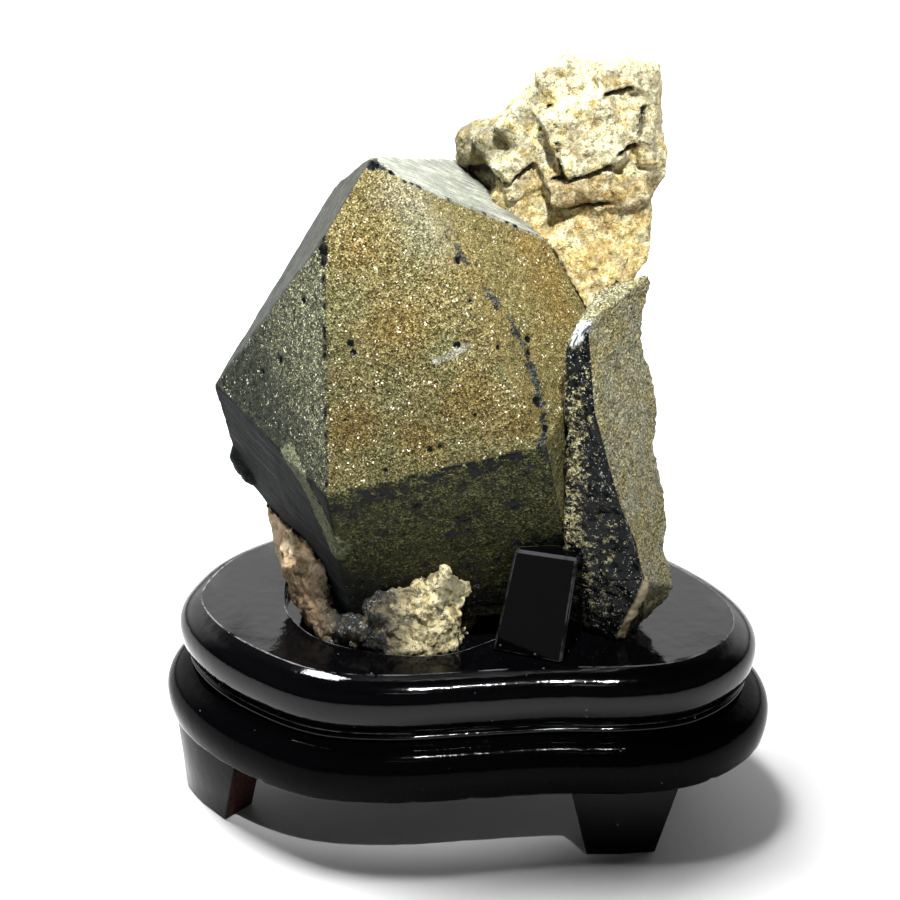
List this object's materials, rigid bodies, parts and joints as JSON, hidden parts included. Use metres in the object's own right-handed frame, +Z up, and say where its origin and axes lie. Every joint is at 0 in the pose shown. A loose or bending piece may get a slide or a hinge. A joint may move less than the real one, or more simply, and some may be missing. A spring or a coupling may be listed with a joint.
{
  "type": "mineral specimen on a stand",
  "caption": "Black quartz crystals on cream matrix rock, druse-coated, held in the recess of a two-tier black lacquered wooden stand with feet and a wedge.",
  "frame": {"origin": "on the surface it stands on, under the middle of the lower board", "axes": "+Z up, +X to the right as seen from the front, -Y towards the viewer"},
  "size_m": [0.1774, 0.1106, 0.2132],
  "materials": {
    "main_crystal": "black quartz under a gold and olive druse, bare and glassy in places",
    "side_crystal": "black glassy quartz with gold crust clusters and a grey-gold druse face",
    "matrix_rock": "rough cream rock with yellow, orange and pinkish-brown stains",
    "black_lacquer": "gloss black lacquer, uneven and dusty, bare red-brown wood inside the feet"
  },
  "bodies": {
    "root": {"main_crystal": "main_crystal", "side_crystal": "side_crystal", "matrix_rock": "matrix_rock", "stand_top": "black_lacquer", "stand_base": "black_lacquer", "foot_front_left": "black_lacquer", "foot_front_right": "black_lacquer", "foot_back_left": "black_lacquer", "foot_back_right": "black_lacquer", "support_post": "black_lacquer"}
  },
  "joints": []
}
